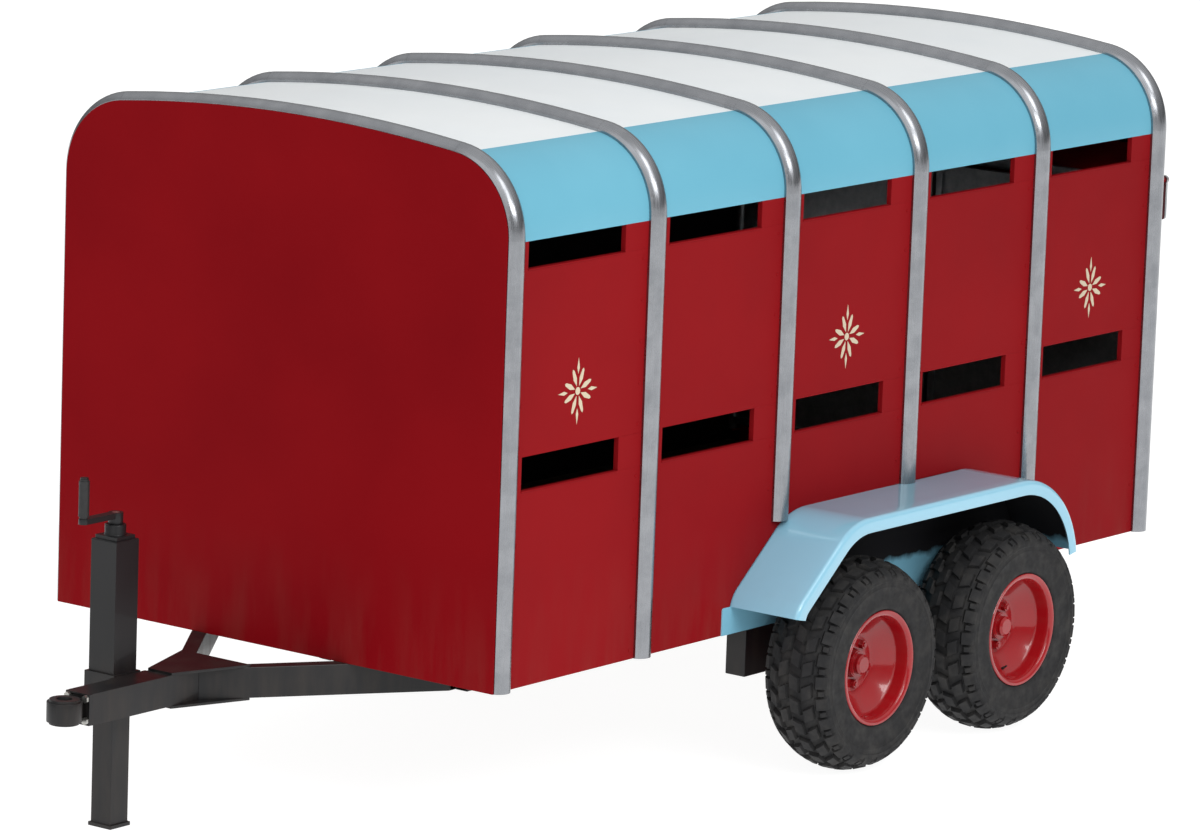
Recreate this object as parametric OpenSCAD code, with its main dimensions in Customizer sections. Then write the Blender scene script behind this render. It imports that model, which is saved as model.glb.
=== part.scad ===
// Twin-axle livestock trailer with a round-cornered, hooped body.
// X runs forward along the drawbar, Y to the trailer's left, Z up from the ground.
// The origin lies on the ground, under the middle of the overall length.

/* [Body] */
// Length of the body over its front panel and rear frame
body_l = 3700; // [3080:10:4440]
// Width of the body over its side panels
body_w = 1830; // [1525:5:2200]
// Height of the upright part of the sides
side_h = 1440; // [1200:10:1800]
// Rise of the roof's centre line above its rounded corners' centres and radius
roof_crown = 40; // [20:5:120]
// Radius of the roof's corners
corner_r = 250; // [150:5:300]
// Height of the body's bottom edge above the ground
deck_h = 500; // [480:5:600]
// Thickness of the front and side panels
panel_t = 18; // [10:1:25]
// Thickness of the roof and shoulder sheets
roof_t = 6; // [3:1:12]
// How far the front panel's rim stands out past the sides
front_lip = 6; // [0:1:12]
// Thickness of the floor boards
floor_t = 18; // [12:1:30]

/* [Vents] */
// Length of each vent slot
slot_l = 495; // [300:5:576]
// How far the slots sit in front of the middle of their bays
slot_shift = 41; // [0:1:60]
// Height of the lower slots' bottom edge above the body's bottom edge
low_slot_z = 633; // [400:1:750]
// Height of the lower slots
low_slot_h = 109; // [60:1:140]
// Height of the upper slots
top_slot_h = 88; // [60:1:120]
// Distance from the shoulder sheets' bottom edge down from the corner's start
shoulder_drop = 12; // [5:1:40]

/* [Hoops] */
// Width of each roof hoop
hoop_w = 75; // [50:1:80]
// How far a hoop stands out from the body
hoop_h = 32; // [20:1:45]
// Height of a hoop's straight edges
hoop_edge = 8; // [4:1:12]

/* [Chassis] */
// Depth of the chassis rails and drawbar sections
rail_h = 100; // [80:1:110]
// Width of the chassis rails and drawbar legs
rail_w = 50; // [40:1:80]
// Wall of the rolled sections
rail_wall = 5; // [4:0.5:8]
// Distance between the chassis rails' centre lines
rail_gap = 1100; // [900:10:1200]
// Depth of the crossmembers under the floor
cross_h = 45; // [30:1:60]
// Width of each crossmember
cross_w = 40; // [30:1:60]
// Distance from the body's front to the tip of the tow eye
nose_reach = 1030; // [980:5:1300]
// Distance from the body's front to the drawbar's apex
apex_reach = 430; // [380:5:480]
// Angle between a drawbar leg and the centre line
leg_angle = 35; // [30:1:38]
// Width of the drawbar pole
pole_w = 100; // [80:1:110]

/* [Tow eye] */
// Diameter of the hole in the tow eye
eye_bore_d = 50; // [40:1:60]
// Outer diameter of the tow eye
eye_d = 112; // [100:1:130]
// Height of the tow eye
eye_h = 80; // [50:1:90]

/* [Jack] */
// Distance from the body's front to the jack
jack_reach = 620; // [560:5:700]
// Outer size of the jack's square tube
jack_w = 106; // [90:1:120]
// Wall of the jack's tube
jack_wall = 8; // [5:0.5:10]
// Outer size of the jack's square leg
jack_leg_w = 82; // [60:1:82]
// Height of the jack's tube above the body's bottom edge
jack_up = 430; // [350:5:500]
// Depth of the jack's tube below the body's bottom edge
jack_down = 120; // [112:1:160]
// Radius of the jack's screw
screw_r = 12; // [10:0.5:15]
// Throw of the crank
crank_throw = 150; // [100:5:200]

/* [Wheels] */
// Diameter of the tyres
tyre_d = 720; // [680:4:864]
// Width of the tyres
tyre_w = 250; // [200:5:260]
// Radius of the rim's tyre seat
rim_r = 178; // [170:1:185]
// Gap between the front and the rear tyre
wheel_gap = 113; // [80:1:160]
// Distance from the body's front to the middle of the two axles
bogie_reach = 2119; // [1950:5:2250]
// Gap between the side panels and the tyres
tyre_gap = 45; // [35:1:70]
// Number of wheel studs
stud_count = 5; // [4:1:6]
// Diameter of the stud circle
stud_pcd = 140; // [130:1:150]

/* [Bogie] */
// Depth of the rocking beams
rocker_h = 100; // [90:1:110]
// Width of the rocking beams
rocker_w = 70; // [60:1:72]
// Radius of the rocking beams' pivot shaft
pivot_r = 30; // [25:1:32]
// Width of the bogie's side beams
bogie_beam_w = 80; // [60:1:90]
// Depth of the bogie's side beams below the pivot shaft's middle
pivot_cover = 50; // [45:1:80]
// Half the length of the bogie's side beams
bogie_beam_reach = 680; // [600:5:720]

/* [Mudguards] */
// Width of the mudguards
guard_w = 275; // [200:5:320]
// Gap between the tyres and the mudguards' tops
guard_gap = 154; // [120:1:200]
// How much smaller the mudguards' front bend is than the tyres
guard_inset = 100; // [90:5:150]
// How much smaller the mudguards' rear bend is than the tyres
guard_rear_inset = 10; // [0:5:30]
// Slope of the mudguards' front
guard_slope = 40; // [35:1:50]
// Slope of the mudguards' front end, below its second bend
guard_tip_slope = 78; // [60:1:85]
// Radius of the mudguards' second bend
guard_tip_r = 100; // [90:5:140]
// Depth of the turned-down lip
guard_lip = 50; // [30:1:60]
// Thickness of the mudguards' sheet
guard_t = 4; // [3:0.5:6]
// Distance from the front axle forward to the front bend's centre
guard_front_over = 61.5; // [45:0.5:140]
// Distance from the rear bend's centre back to the rear axle
guard_rear_under = 4; // [0:0.5:10]
// Height of the mudguards' front end above the body's bottom edge
guard_end_z = 92; // [60:1:110]

/* [Ramp and gates] */
// Width of each post beside the rear doorway
post_w = 65; // [55:1:120]
// Distance from the corners' start down to the rear doorway's top
header_drop = 60; // [50:5:200]
// Thickness of the rear frame
rear_frame_t = 40; // [30:1:60]
// Overall thickness of the ramp
ramp_t = 44; // [36:1:60]
// Height of the cleats on the ramp
cleat_h = 20; // [10:1:25]
// Number of cleats on the ramp
cleat_count = 7; // [4:1:9]
// Gap over the inner gates
gate_head = 147; // [20:1:400]

/* [Hidden] */
$fn = 96;
ROUND_ROOF = 720;
HOOP_ROUND = 64;

// Colours
RED = "firebrick";
BLUE = "lightblue";
BLACK = "dimgray";
SILVER = "silver";

// Clearances
running = 0.05;
face_gap = 0.3;
bolt_gap = 0.5;
hoop_seam = 0.5;

// Ramp, latches and their stack behind the rear frame
ramp_gap = 4;
ramp_board_t = 20;
ramp_rail_w = 60;
ramp_overlap = 30;
latch_gap = 3;
latch_t = 10;
latch_head_t = 5;
latch_stack = ramp_gap + ramp_t + latch_gap;
tail_reach = latch_stack + latch_t + 1 + latch_head_t;

// Places along X
total_l = nose_reach + body_l + tail_reach;
front_x = total_l / 2 - nose_reach;
rear_x = front_x - body_l;
inner_front_x = front_x - panel_t;
inner_rear_x = rear_x + rear_frame_t;
bogie_x = front_x - bogie_reach;

// Body section
half_w = body_w / 2;
roof_rise = corner_r + roof_crown;
corner_y = half_w - corner_r;
roof_r = (pow(corner_y, 2) + pow(roof_rise, 2) - pow(corner_r, 2)) / (2 * (roof_rise - corner_r));
roof_c = side_h + roof_rise - roof_r;
roof_angle = asin(corner_y / (roof_r - corner_r));
floor_z = cross_h + floor_t;
shoulder_z = side_h - shoulder_drop;
top_slot_z = shoulder_z - top_slot_h;
door_w = body_w - 2 * post_w;
door_top = side_h - header_drop;

// Hoops
hoop_count = 6;
front_rim_t = 5;
hoop_first_x = front_x - front_rim_t - face_gap - hoop_w / 2;
hoop_last_x = rear_x + hoop_w / 2;
hoop_pitch = (hoop_first_x - hoop_last_x) / (hoop_count - 1);
crown_r = (pow(hoop_w / 2, 2) + pow(hoop_h - hoop_edge, 2)) / (2 * (hoop_h - hoop_edge));

// Wheels
tyre_r = tyre_d / 2;
hub_z = tyre_r;
wheel_y = half_w + tyre_gap + tyre_w / 2;
axle_gap = tyre_d + wheel_gap;
bead_w = 110;
crown_bend_r = 190;
bead_h = 18;
sidewall_h = 45;
rim_flange_t = 7;
rim_wall = 7;
rim_half = bead_w + face_gap + rim_flange_t;
disc_t = 8;
dish_r = 100;
dish_a = 60;
pilot_r = 46;
stud_r = 8;
stud_l = 28;
nut_r = 15;
nut_h = 16;

// Hubs and axle ends, measured outwards from the wheel's middle
hub_in = -135;
hub_out = 30;
hub_r = 50;
flange_r = 90;
flange_t = 12;
in_bearing_r = 40;
in_bearing_w = 22;
in_bearing_a = -133;
in_seat_r = 22.5;
out_bearing_r = 34;
out_bearing_w = 20;
out_bearing_a = 0;
out_seat_r = 17.5;
axle_root_r = 30;
axle_mid_r = 20;
axle_nut_r = 20;
axle_nut_h = 8;
cap_l = 24;
cap_wall = 3;

// Bogie
bogie_beam_h = deck_h - hub_z + pivot_cover;
bogie_beam_out = half_w - 73;
rocker_in = bogie_beam_out + 10;
rocker_out = rocker_in + rocker_w;
rocker_over = 60;
boss_r = 46;
boss_t = 8;
pivot_cap_t = 12;
beam_wall = 6;

// Mudguards
guard_steps = 10;
guard_rear_end = 80;
guard_r = tyre_r - guard_inset;
guard_rear_r = tyre_r - guard_rear_inset;
guard_z = tyre_d + guard_gap - deck_h;
guard_in = half_w + face_gap;
guard_out = half_w + guard_w;
plate_front = 45;

// Jack
jack_y = -(pole_w / 2 + 17 + jack_w / 2);
jack_x = front_x + jack_reach;
jack_top = deck_h + jack_up;
jack_leg_top = deck_h + 80;
jack_leg_wall = 5;
jack_foot_w = 96;
jack_foot_t = 12;
jack_boss_r = 34;
jack_boss_h = 34;
jack_cap_t = 12;
nut_block_h = 34;
screw_low = deck_h - 200;
crank_z = jack_top + jack_cap_t + jack_boss_h + 1;
crank_hub_r = 24;
crank_hub_h = 36;
crank_arm_h = 18;
crank_arm_w = 32;
grip_r = 17;
grip_l = 125;
grip_pin_r = 9;

// Tow eye
eye_x = front_x + nose_reach - eye_d / 2;
pole_front = front_x + nose_reach - 130;
pole_rear = front_x + 300;
eye_flange_t = 14;
pole_z = deck_h - rail_h / 2;
bolt_r = 8;
bolt_head_r = 12.5;
bolt_head_h = 10;
eye_bolt_y = 37;
eye_bolt_z = 35;
gusset_t = 8;
clamp_wall = 9;
clamp_h = 108;
clamp_pad = 85;
clamp_bolt_x = 72;
clamp_bolt_z = 30;

// Ramp
ramp_half = door_w / 2 + ramp_overlap;
ramp_low = deck_h + 48;
ramp_high = deck_h + door_top + 25;
hinge_r = 16;
hinge_pin_r = 10;
hinge_x = rear_x - ramp_gap - ramp_t + hinge_r;
hinge_z = deck_h + 24;
hinge_l = 80;
hinge_lug_l = 40;
hinge_lug_gap = 1;
hinge_spread = half_w - 265;
hinge_places = [-hinge_spread, 0, hinge_spread];
cleat_w = 40;
cleat_margin = 40;
latch_y = half_w - 18;
latch_z = deck_h + door_top - 130;
latch_l = 130;
latch_w = 24;
latch_pin_r = 8;

// Gates
gate_pin_r = 8;
gate_post_r = 16;
gate_pin_l = 25;
gate_x = inner_rear_x + gate_post_r + 6;
gate_y = door_w / 2 + 18;
gate_foot = 50;
gate_low = deck_h + floor_z + gate_foot;
gate_h = door_top - floor_z - gate_foot - gate_head;
gate_bar = 25;
gate_sheet_t = 4;
gate_mid_gap = 8;
gate_lug_t = 8;

// Outline of the body's cross-section, set in by inset on all sides but the bottom
module section(inset) {
    far = 2 * corner_r;
    translate([-half_w + inset, 0]) square([body_w - 2 * inset, side_h]);
    for (side = [-1, 1]) translate([side * corner_y, side_h]) circle(corner_r - inset);
    intersection() {
        translate([0, roof_c]) circle(roof_r - inset, $fn = ROUND_ROOF);
        polygon([
            [-corner_y, side_h - 1],
            [corner_y, side_h - 1],
            [corner_y + far * sin(roof_angle), side_h + far * cos(roof_angle)],
            [-corner_y - far * sin(roof_angle), side_h + far * cos(roof_angle)]
        ]);
    }
}

// Area above the two seams between the roof sheet and the shoulder sheets
module roof_wedge() {
    far = 2 * corner_r;
    polygon([
        [-corner_y, side_h],
        [corner_y, side_h],
        [corner_y + far * sin(roof_angle), side_h + far * cos(roof_angle)],
        [-corner_y - far * sin(roof_angle), side_h + far * cos(roof_angle)]
    ]);
}

// Extrudes an outline drawn in Y and Z, from x0 to x1, with its base on the body's bottom edge
module along_x(x0, x1) {
    translate([x0, 0, deck_h]) rotate([90, 0, 90]) linear_extrude(x1 - x0) children();
}

// Extrudes an outline drawn in X and Z, from y0 to y1
module along_y(y0, y1) {
    translate([0, y1, 0]) rotate([90, 0, 0]) linear_extrude(y1 - y0) children();
}

// Block between two corners
module block(low, high) {
    translate(low) cube(high - low);
}

// Rolled box section between two corners, open along the given direction
module box_section(low, high, wall, open) {
    inner_low = [for (i = [0:2]) low[i] + (i == open ? -1 : wall)];
    inner_high = [for (i = [0:2]) high[i] - (i == open ? -1 : wall)];
    difference() {
        block(low, high);
        block(inner_low, inner_high);
    }
}

// Copies to the left or the right side of the trailer
module on_side(side) {
    if (side > 0) children();
    else mirror([0, 1, 0]) children();
}

function hoop_x(i) = hoop_first_x - i * hoop_pitch;
function slot_x(i) = (hoop_x(i) + hoop_x(i + 1)) / 2 + slot_shift;

// Body

module floor() {
    color("saddlebrown") block(
        [inner_rear_x, -half_w + panel_t, deck_h + cross_h],
        [inner_front_x, half_w - panel_t, deck_h + floor_z]);
}

module front_panel() {
    color(RED) {
        along_x(front_x - front_rim_t, front_x) section(-front_lip);
        along_x(inner_front_x, front_x - front_rim_t) section(0);
    }
}

module gate_lug(side, z, pin_low, pin_high) {
    on_side(side) {
        block([inner_rear_x - 1, gate_y - gate_post_r, z], [gate_x, gate_y + gate_post_r, z + gate_lug_t]);
        translate([gate_x, gate_y, z]) cylinder(h = gate_lug_t, r = gate_post_r);
        translate([gate_x, gate_y, pin_low]) cylinder(h = pin_high - pin_low, r = gate_pin_r);
    }
}

module hinge_lug(y) {
    difference() {
        union() {
            along_y(y, y + hinge_lug_l) translate([hinge_x, hinge_z]) circle(hinge_r);
            block([hinge_x, y, hinge_z - hinge_r], [rear_x + 1, y + hinge_lug_l, hinge_z + hinge_r]);
        }
        along_y(y - 1, y + hinge_lug_l + 1) translate([hinge_x, hinge_z]) circle(hinge_pin_r + running);
    }
}

module latch_stud(side) {
    translate([rear_x, side * latch_y, latch_z]) rotate([0, -90, 0]) {
        cylinder(h = tail_reach, r = latch_pin_r);
        cylinder(h = ramp_gap + ramp_t, r = latch_pin_r + 3);
        translate([0, 0, tail_reach - latch_head_t]) cylinder(h = latch_head_t, r = latch_pin_r + 5);
    }
}

module rear_frame() {
    color(RED) {
        along_x(rear_x, inner_rear_x) difference() {
            section(0);
            translate([-door_w / 2, floor_z]) square([door_w, door_top - floor_z]);
        }
        for (side = [-1, 1]) {
            gate_lug(side, gate_low - gate_lug_t - 1, gate_low - 2, gate_low + gate_pin_l);
            gate_lug(side, gate_low + gate_h + 1, gate_low + gate_h - gate_pin_l, gate_low + gate_h + 2);
            latch_stud(side);
        }
        for (place = hinge_places) {
            hinge_lug(place - hinge_l / 2 - hinge_lug_gap - hinge_lug_l);
            hinge_lug(place + hinge_l / 2 + hinge_lug_gap);
        }
    }
}

module side_sheet(side, low, high) {
    color(RED) on_side(side) block(
        [inner_rear_x, half_w - panel_t, deck_h + low],
        [inner_front_x, half_w, deck_h + high]);
}

module vent_pillar(x0, x1, low, high) {
    for (side = [-1, 1]) on_side(side) block(
        [x0, half_w - panel_t, deck_h + low], [x1, half_w, deck_h + high]);
}

module vent_pillars() {
    color(RED) for (row = [[low_slot_z, low_slot_z + low_slot_h], [top_slot_z, shoulder_z]]) {
        vent_pillar(slot_x(0) + slot_l / 2, inner_front_x, row[0], row[1]);
        for (i = [1:hoop_count - 2]) vent_pillar(slot_x(i) + slot_l / 2, slot_x(i - 1) - slot_l / 2, row[0], row[1]);
        vent_pillar(inner_rear_x, slot_x(hoop_count - 2) - slot_l / 2, row[0], row[1]);
    }
}

module roof_sheet() {
    color("white") along_x(inner_rear_x, inner_front_x) intersection() {
        difference() {
            section(0);
            section(roof_t);
        }
        roof_wedge();
    }
}

module shoulder(side) {
    color(BLUE) on_side(side) along_x(inner_rear_x, inner_front_x) difference() {
        section(0);
        section(roof_t);
        roof_wedge();
        translate([-body_w, -1]) square([body_w, 3 * side_h]);
        translate([-1, -1]) square([body_w, shoulder_z + 1]);
    }
}

// Half-round strip section, standing out along X from its base
module hoop_section() {
    intersection() {
        translate([hoop_h - crown_r, 0]) circle(crown_r, $fn = HOOP_ROUND);
        translate([0, -hoop_w / 2]) square([hoop_h, hoop_w]);
    }
}

module hoop_leg(low) {
    translate([0, half_w + face_gap, deck_h + side_h]) mirror([0, 0, 1])
        linear_extrude(deck_h + side_h - low) rotate(90) hoop_section();
}

module hoop_corner() {
    translate([0, corner_y, deck_h + side_h]) rotate([90, 0, 90])
        rotate_extrude(angle = 90 - roof_angle) translate([corner_r + face_gap, 0]) hoop_section();
}

module hoop_bow() {
    half_angle = roof_angle - asin(hoop_seam / roof_r);
    translate([0, 0, deck_h + roof_c]) rotate([90, 0, 90]) rotate_extrude(
        angle = 2 * half_angle, start = 90 - half_angle, $fn = ROUND_ROOF
    ) translate([roof_r + face_gap, 0]) hoop_section();
}

module hoop(i) {
    color(SILVER) translate([hoop_x(i), 0, 0]) {
        for (side = [-1, 1]) on_side(side) {
            hoop_leg(deck_h + guard_height(hoop_x(i)));
            hoop_corner();
        }
        hoop_bow();
    }
}

// Mudguards

front_bend_x = bogie_x + axle_gap / 2 + guard_front_over;
rear_bend_x = bogie_x - axle_gap / 2 + guard_rear_under;
front_bend_z = guard_z - guard_r;
rear_bend_z = guard_z - guard_rear_r;
tip_bend_z = guard_end_z - guard_tip_r * cos(guard_tip_slope);
slope_drop = front_bend_z + (guard_r - guard_tip_r) * cos(guard_slope) - tip_bend_z;
tip_bend_x = front_bend_x + (guard_r - guard_tip_r) * sin(guard_slope) + slope_drop / tan(guard_slope);
tip_x = tip_bend_x + guard_tip_r * sin(guard_tip_slope);
rear_end_x = rear_bend_x - guard_rear_r * sin(guard_rear_end);

// Height of the mudguard's crown line in front of its front bend's centre, with its end taken as straight
function front_height(run) = run < guard_r * sin(guard_slope)
    ? front_bend_z + sqrt(pow(guard_r, 2) - pow(run, 2))
    : front_bend_z + guard_r * cos(guard_slope) - (run - guard_r * sin(guard_slope)) * tan(guard_slope);

// Height of the mudguard's crown line behind its rear bend's centre
function rear_height(run) = rear_bend_z + sqrt(pow(guard_rear_r, 2) - pow(run, 2));

// Height of a hoop's foot: the highest of the mudguard's sheet across the hoop and a small gap, or the body's edge
function guard_height(x) =
    let (front = x + hoop_w / 2, rear = x - hoop_w / 2)
    rear > tip_x + plate_front || front < rear_end_x ? 0
    : rear > tip_x ? guard_end_z + face_gap
    : rear > front_bend_x ? front_height(rear - front_bend_x) + face_gap
    : front < rear_bend_x ? rear_height(rear_bend_x - front) + face_gap
    : guard_z + face_gap;

// Points of a bend about a centre, between two angles from the vertical
function bend(x, z, r, from, to) = [
    for (i = [0:guard_steps]) let (a = from + i * (to - from) / guard_steps) [x + r * sin(a), deck_h + z + r * cos(a)]
];

// Line of a mudguard seen from the side, set in from its outer face
function guard_line(inset) = concat(
    bend(tip_bend_x, tip_bend_z, guard_tip_r - inset, guard_tip_slope, guard_slope),
    bend(front_bend_x, front_bend_z, guard_r - inset, guard_slope, 0),
    bend(rear_bend_x, rear_bend_z, guard_rear_r - inset, 0, -guard_rear_end)
);

function reversed(points) = [for (i = [len(points) - 1:-1:0]) points[i]];

module guard_band(inset) {
    polygon(concat(guard_line(0), reversed(guard_line(inset))));
}

module mudguard(side) {
    front = tip_x + plate_front;
    color(BLUE) on_side(side) {
        along_y(guard_in, guard_out) guard_band(guard_t);
        along_y(guard_out - guard_t, guard_out) guard_band(guard_lip);
        along_y(guard_in, guard_in + guard_t) polygon(concat(
            [[front, deck_h], [front, deck_h + guard_end_z]],
            guard_line(0),
            [[rear_end_x, deck_h]]
        ));
    }
}

// Chassis and drawbar

module chassis_rails() {
    leg_end = front_x + apex_reach - (rail_gap / 2) / tan(leg_angle);
    color(BLACK) for (side = [-1, 1]) on_side(side) box_section(
        [rear_x + 60, (rail_gap - rail_w) / 2, deck_h - rail_h],
        [leg_end + rail_w, (rail_gap + rail_w) / 2, deck_h],
        rail_wall, 0);
}

module crossmembers() {
    color(BLACK) for (i = [0:hoop_count - 1]) box_section(
        [max(hoop_x(i) - cross_w / 2, inner_rear_x), -half_w + panel_t, deck_h],
        [max(hoop_x(i) - cross_w / 2, inner_rear_x) + cross_w, half_w - panel_t, deck_h + cross_h],
        rail_wall, 1);
}

module drawbar_leg() {
    long = apex_reach / cos(leg_angle) + body_w;
    y0 = pole_w / 2;
    y1 = (rail_gap - rail_w) / 2;
    intersection() {
        translate([front_x + apex_reach, 0, deck_h - rail_h]) rotate([0, 0, 180 - leg_angle])
            box_section([0, -rail_w / 2, 0], [long, rail_w / 2, rail_h], rail_wall, 0);
        block([rear_x, y0, deck_h - rail_h], [front_x + nose_reach, y1, deck_h]);
    }
}

module drawbar_legs() {
    color(BLACK) for (side = [-1, 1]) on_side(side) drawbar_leg();
}

module eye_bolt_places() {
    for (y = [-eye_bolt_y, eye_bolt_y], z = [-eye_bolt_z, eye_bolt_z])
        translate([pole_front, y, pole_z + z]) rotate([0, 90, 0]) children();
}

module clamp_bolt_places() {
    for (x = [-clamp_bolt_x, clamp_bolt_x], z = [-clamp_bolt_z, clamp_bolt_z])
        translate([jack_x + x, -pole_w / 2, pole_z + z]) rotate([90, 0, 0]) children();
}

module gusset(z) {
    reach = 170;
    spread = reach * tan(leg_angle);
    translate([front_x + apex_reach, 0, z]) linear_extrude(gusset_t) polygon([
        [pole_w, pole_w / 2], [pole_w, -pole_w / 2], [-reach, -spread - rail_w / 2], [-reach, spread + rail_w / 2]
    ]);
}

module drawbar_pole() {
    end_plate_t = 14;
    color(BLACK) difference() {
        union() {
            box_section(
                [pole_rear, -pole_w / 2, deck_h - rail_h], [pole_front, pole_w / 2, deck_h], rail_wall, 0);
            block([pole_front - end_plate_t, -pole_w / 2, deck_h - rail_h], [pole_front, pole_w / 2, deck_h]);
            gusset(deck_h);
            gusset(deck_h - rail_h - gusset_t);
        }
        eye_bolt_places() translate([0, 0, -end_plate_t - 1]) cylinder(h = end_plate_t + 2, r = bolt_r + bolt_gap);
        clamp_bolt_places() translate([0, 0, -rail_wall - 1]) cylinder(h = rail_wall + 2, r = bolt_r + bolt_gap);
    }
}

module tow_eye() {
    flange_x = pole_front + eye_flange_t;
    color(BLACK) difference() {
        union() {
            block([pole_front, -pole_w / 2, deck_h - rail_h], [flange_x, pole_w / 2, deck_h]);
            block([pole_front + 1, -22, pole_z - eye_h / 2 + 6], [eye_x, 22, pole_z + eye_h / 2 - 6]);
            translate([eye_x, 0, pole_z]) cylinder(h = eye_h - 16, r = eye_d / 2, center = true);
            translate([eye_x, 0, pole_z]) cylinder(h = eye_h, r = eye_d / 2 - 8, center = true);
        }
        translate([eye_x, 0, pole_z]) cylinder(h = eye_h + 2, r = eye_bore_d / 2, center = true);
        eye_bolt_places() translate([0, 0, -1]) cylinder(h = eye_flange_t + 2, r = bolt_r + bolt_gap);
    }
}

module bolt(grip, below) {
    translate([0, 0, -below]) cylinder(h = below + grip, r = bolt_r);
    translate([0, 0, grip]) cylinder(h = bolt_head_h, r = bolt_head_r, $fn = 6);
}

module drawbar_bolts() {
    color(SILVER) {
        eye_bolt_places() bolt(eye_flange_t, 14);
        clamp_bolt_places() bolt(clamp_wall - 1, rail_wall);
    }
}

// Bogie

module pivot_place() {
    translate([bogie_x, 0, hub_z]) rotate([-90, 0, 0]) children();
}

module bogie_beams() {
    y0 = bogie_beam_out - bogie_beam_w;
    color(BLACK) for (side = [-1, 1]) on_side(side) difference() {
        union() {
            box_section(
                [bogie_x - bogie_beam_reach, y0, deck_h - bogie_beam_h],
                [bogie_x + bogie_beam_reach, bogie_beam_out, deck_h],
                beam_wall, 0);
            for (x = [bogie_x - bogie_beam_reach, bogie_x + bogie_beam_reach - beam_wall])
                block([x, y0, deck_h - bogie_beam_h], [x + beam_wall, bogie_beam_out, deck_h]);
        }
        pivot_place() cylinder(h = body_w, r = pivot_r + bolt_gap);
    }
}

module pivot_shaft() {
    end = rocker_out + boss_t + 2;
    color(SILVER) {
        pivot_place() cylinder(h = 2 * end, r = pivot_r, center = true);
        for (side = [-1, 1]) on_side(side) pivot_place() translate([0, 0, end])
            cylinder(h = pivot_cap_t, r = pivot_r + 12);
    }
}

module axle_end(x) {
    translate([x, wheel_y, hub_z]) rotate([-90, 0, 0]) {
        translate([0, 0, rocker_in - wheel_y + 1])
            cylinder(h = hub_in - 5 - rocker_in + wheel_y - 1, r = axle_root_r);
        translate([0, 0, hub_in - 6]) cylinder(h = in_bearing_w + 8, r = in_seat_r - running);
        translate([0, 0, in_bearing_a + in_bearing_w]) cylinder(
            h = out_bearing_a - in_bearing_a - in_bearing_w, r = axle_mid_r);
        translate([0, 0, out_bearing_a - 1]) cylinder(h = out_bearing_w + 3, r = out_seat_r - running);
        translate([0, 0, out_bearing_a + out_bearing_w + 1]) cylinder(h = axle_nut_h, r = axle_nut_r, $fn = 6);
    }
}

module rocker(side) {
    over = axle_gap / 2 + rocker_over;
    color(BLACK) on_side(side) difference() {
        union() {
            box_section(
                [bogie_x - over, rocker_in, hub_z - rocker_h / 2],
                [bogie_x + over, rocker_out, hub_z + rocker_h / 2],
                beam_wall, 0);
            for (x = [bogie_x - over, bogie_x + over - beam_wall])
                block([x, rocker_in, hub_z - rocker_h / 2], [x + beam_wall, rocker_out, hub_z + rocker_h / 2]);
            pivot_place() translate([0, 0, rocker_in - boss_t]) cylinder(h = rocker_w + 2 * boss_t, r = boss_r);
            for (x = [bogie_x - axle_gap / 2, bogie_x + axle_gap / 2]) axle_end(x);
        }
        pivot_place() cylinder(h = body_w, r = pivot_r + running);
    }
}

module bearing(x, place, width, inner, outer) {
    translate([x, wheel_y, hub_z]) rotate([-90, 0, 0]) translate([0, 0, place]) difference() {
        cylinder(h = width, r = outer);
        translate([0, 0, -1]) cylinder(h = width + 2, r = inner);
    }
}

module wheel_bearings(side) {
    color(SILVER) on_side(side) for (x = [bogie_x - axle_gap / 2, bogie_x + axle_gap / 2]) {
        bearing(x, in_bearing_a, in_bearing_w, in_seat_r, in_bearing_r);
        bearing(x, out_bearing_a, out_bearing_w, out_seat_r, out_bearing_r);
    }
}

// Wheels: drawn at the wheel's middle, with Z pointing out of the trailer

module at_wheel(side, place) {
    on_side(side) translate([bogie_x + place * axle_gap / 2, wheel_y, hub_z]) rotate([-90, 0, 0]) children();
}

module around_studs() {
    for (i = [0:stud_count - 1]) rotate([0, 0, 90 + i * 360 / stud_count]) translate([stud_pcd / 2, 0, 0]) children();
}

module hub() {
    color(BLACK) {
        rotate_extrude() polygon([
            [in_bearing_r + running, hub_in], [hub_r, hub_in], [hub_r, -flange_t], [flange_r, -flange_t],
            [flange_r, -face_gap], [pilot_r, -face_gap], [pilot_r, hub_out],
            [out_bearing_r + running, hub_out], [out_bearing_r + running, out_bearing_a - 1],
            [out_bearing_r - 4, out_bearing_a - 1], [out_bearing_r - 4, in_bearing_a + in_bearing_w + 1],
            [in_bearing_r + running, in_bearing_a + in_bearing_w + 1]
        ]);
        around_studs() translate([0, 0, -flange_t]) cylinder(h = flange_t + stud_l, r = stud_r);
        rotate_extrude() polygon([
            [0, hub_out + cap_l], [0, hub_out + cap_l - cap_wall], [out_bearing_r - cap_wall, hub_out + cap_l - 8],
            [out_bearing_r - cap_wall, hub_out], [pilot_r - 4, hub_out], [pilot_r - 4, hub_out + cap_wall],
            [out_bearing_r, hub_out + cap_wall], [out_bearing_r, hub_out + cap_l - 6], [out_bearing_r - 8, hub_out + cap_l]
        ]);
    }
}

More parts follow.
